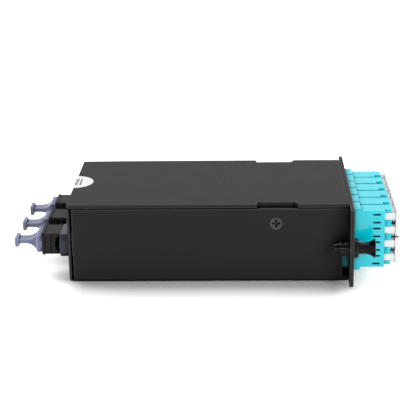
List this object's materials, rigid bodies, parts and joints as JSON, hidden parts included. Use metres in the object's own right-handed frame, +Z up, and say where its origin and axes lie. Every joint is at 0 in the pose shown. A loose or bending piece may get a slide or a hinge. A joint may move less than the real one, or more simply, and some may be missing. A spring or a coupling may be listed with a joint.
{
  "type": "fibre cassette",
  "caption": "Flat black steel fibre cassette: aqua quad adapters with clear dust caps in an eared faceplate with push latches, capped trunk adapters at the rear.",
  "frame": {"origin": "middle of the body's flat underside", "axes": "+X from the trunk adapters to the faceplate, along the body; +Y across it, away from the side that the picture shows; +Z up"},
  "size_m": [0.1678, 0.0842, 0.0356],
  "materials": {
    "black_powder_coat": "fine-textured satin powder coat on folded steel",
    "black_zinc_screw": "black zinc plate",
    "zinc_steel": "zinc plate",
    "spring_steel": "bright rolled spring steel",
    "seal_film": "matt white film",
    "aqua_polymer": "moulded, satin gloss",
    "aqua_plug_polymer": "moulded, satin gloss",
    "zirconia": "polished ceramic",
    "natural_cap_polymer": "moulded natural polyethylene, translucent",
    "black_adapter_polymer": "moulded, fine spark-eroded texture",
    "slate_polymer": "moulded, satin",
    "lavender_cap_polymer": "moulded soft polymer, satin",
    "aqua_fibre_jacket": "extruded jacket",
    "harness_polymer": "moulded",
    "latch_polymer": "moulded nylon, glossy"
  },
  "bodies": {
    "root": {"base_tray": "black_powder_coat", "top_cover": "black_powder_coat", "cover_brackets": "black_powder_coat", "cover_screws": "black_zinc_screw", "cover_nuts": "zinc_steel", "mtp_clips": "spring_steel", "lc_clips": "spring_steel", "seal_label": "seal_film", "lc_adapter_1": "aqua_polymer", "lc_adapter_2": "aqua_polymer", "lc_adapter_3": "aqua_polymer", "lc_adapter_4": "aqua_polymer", "lc_adapter_5": "aqua_polymer", "lc_adapter_6": "aqua_polymer", "lc_rear_housings": "aqua_polymer", "lc_plugs_1": "aqua_plug_polymer", "lc_plugs_2": "aqua_plug_polymer", "lc_plugs_3": "aqua_plug_polymer", "lc_plugs_4": "aqua_plug_polymer", "lc_plugs_5": "aqua_plug_polymer", "lc_plugs_6": "aqua_plug_polymer", "mtp_plug_1": "aqua_plug_polymer", "mtp_plug_2": "aqua_plug_polymer", "mtp_plug_3": "aqua_plug_polymer", "ferrule_sleeves": "zirconia", "mtp_adapter_1": "black_adapter_polymer", "mtp_adapter_2": "black_adapter_polymer", "mtp_adapter_3": "black_adapter_polymer", "mtp_collar_1": "slate_polymer", "mtp_collar_2": "slate_polymer", "mtp_collar_3": "slate_polymer", "fibres_1": "aqua_fibre_jacket", "fibres_2": "aqua_fibre_jacket", "fibres_3": "aqua_fibre_jacket", "harness_saddle": "harness_polymer", "fan_out_1": "harness_polymer", "fan_out_2": "harness_polymer", "fan_out_3": "harness_polymer", "latch_grommet_near": "latch_polymer", "latch_grommet_far": "latch_polymer"},
    "lc_cap_01": {"lc_cap_01": "natural_cap_polymer"},
    "lc_cap_02": {"lc_cap_02": "natural_cap_polymer"},
    "lc_cap_03": {"lc_cap_03": "natural_cap_polymer"},
    "lc_cap_04": {"lc_cap_04": "natural_cap_polymer"},
    "lc_cap_05": {"lc_cap_05": "natural_cap_polymer"},
    "lc_cap_06": {"lc_cap_06": "natural_cap_polymer"},
    "lc_cap_07": {"lc_cap_07": "natural_cap_polymer"},
    "lc_cap_08": {"lc_cap_08": "natural_cap_polymer"},
    "lc_cap_09": {"lc_cap_09": "natural_cap_polymer"},
    "lc_cap_10": {"lc_cap_10": "natural_cap_polymer"},
    "lc_cap_11": {"lc_cap_11": "natural_cap_polymer"},
    "lc_cap_12": {"lc_cap_12": "natural_cap_polymer"},
    "mtp_cap_1": {"mtp_cap_1": "lavender_cap_polymer"},
    "mtp_cap_2": {"mtp_cap_2": "lavender_cap_polymer"},
    "mtp_cap_3": {"mtp_cap_3": "lavender_cap_polymer"},
    "latch_plunger_near": {"latch_plunger_near": "latch_polymer"},
    "latch_plunger_far": {"latch_plunger_far": "latch_polymer"}
  },
  "joints": [
    {"name": "lc_cap_01_pull", "type": "slide", "parent": "root", "child": "lc_cap_01", "axis": [1, 0, 0], "range_m": [0, 0.012]},
    {"name": "lc_cap_02_pull", "type": "slide", "parent": "root", "child": "lc_cap_02", "axis": [1, 0, 0], "range_m": [0, 0.012]},
    {"name": "lc_cap_03_pull", "type": "slide", "parent": "root", "child": "lc_cap_03", "axis": [1, 0, 0], "range_m": [0, 0.012]},
    {"name": "lc_cap_04_pull", "type": "slide", "parent": "root", "child": "lc_cap_04", "axis": [1, 0, 0], "range_m": [0, 0.012]},
    {"name": "lc_cap_05_pull", "type": "slide", "parent": "root", "child": "lc_cap_05", "axis": [1, 0, 0], "range_m": [0, 0.012]},
    {"name": "lc_cap_06_pull", "type": "slide", "parent": "root", "child": "lc_cap_06", "axis": [1, 0, 0], "range_m": [0, 0.012]},
    {"name": "lc_cap_07_pull", "type": "slide", "parent": "root", "child": "lc_cap_07", "axis": [1, 0, 0], "range_m": [0, 0.012]},
    {"name": "lc_cap_08_pull", "type": "slide", "parent": "root", "child": "lc_cap_08", "axis": [1, 0, 0], "range_m": [0, 0.012]},
    {"name": "lc_cap_09_pull", "type": "slide", "parent": "root", "child": "lc_cap_09", "axis": [1, 0, 0], "range_m": [0, 0.012]},
    {"name": "lc_cap_10_pull", "type": "slide", "parent": "root", "child": "lc_cap_10", "axis": [1, 0, 0], "range_m": [0, 0.012]},
    {"name": "lc_cap_11_pull", "type": "slide", "parent": "root", "child": "lc_cap_11", "axis": [1, 0, 0], "range_m": [0, 0.012]},
    {"name": "lc_cap_12_pull", "type": "slide", "parent": "root", "child": "lc_cap_12", "axis": [1, 0, 0], "range_m": [0, 0.012]},
    {"name": "mtp_cap_1_pull", "type": "slide", "parent": "root", "child": "mtp_cap_1", "axis": [-1, 0, 0], "range_m": [0, 0.009]},
    {"name": "mtp_cap_2_pull", "type": "slide", "parent": "root", "child": "mtp_cap_2", "axis": [-1, 0, 0], "range_m": [0, 0.009]},
    {"name": "mtp_cap_3_pull", "type": "slide", "parent": "root", "child": "mtp_cap_3", "axis": [-1, 0, 0], "range_m": [0, 0.009]},
    {"name": "latch_near_push", "type": "slide", "parent": "root", "child": "latch_plunger_near", "axis": [-1, 0, 0], "range_m": [0, 0.0028]},
    {"name": "latch_far_push", "type": "slide", "parent": "root", "child": "latch_plunger_far", "axis": [-1, 0, 0], "range_m": [0, 0.0028]}
  ]
}
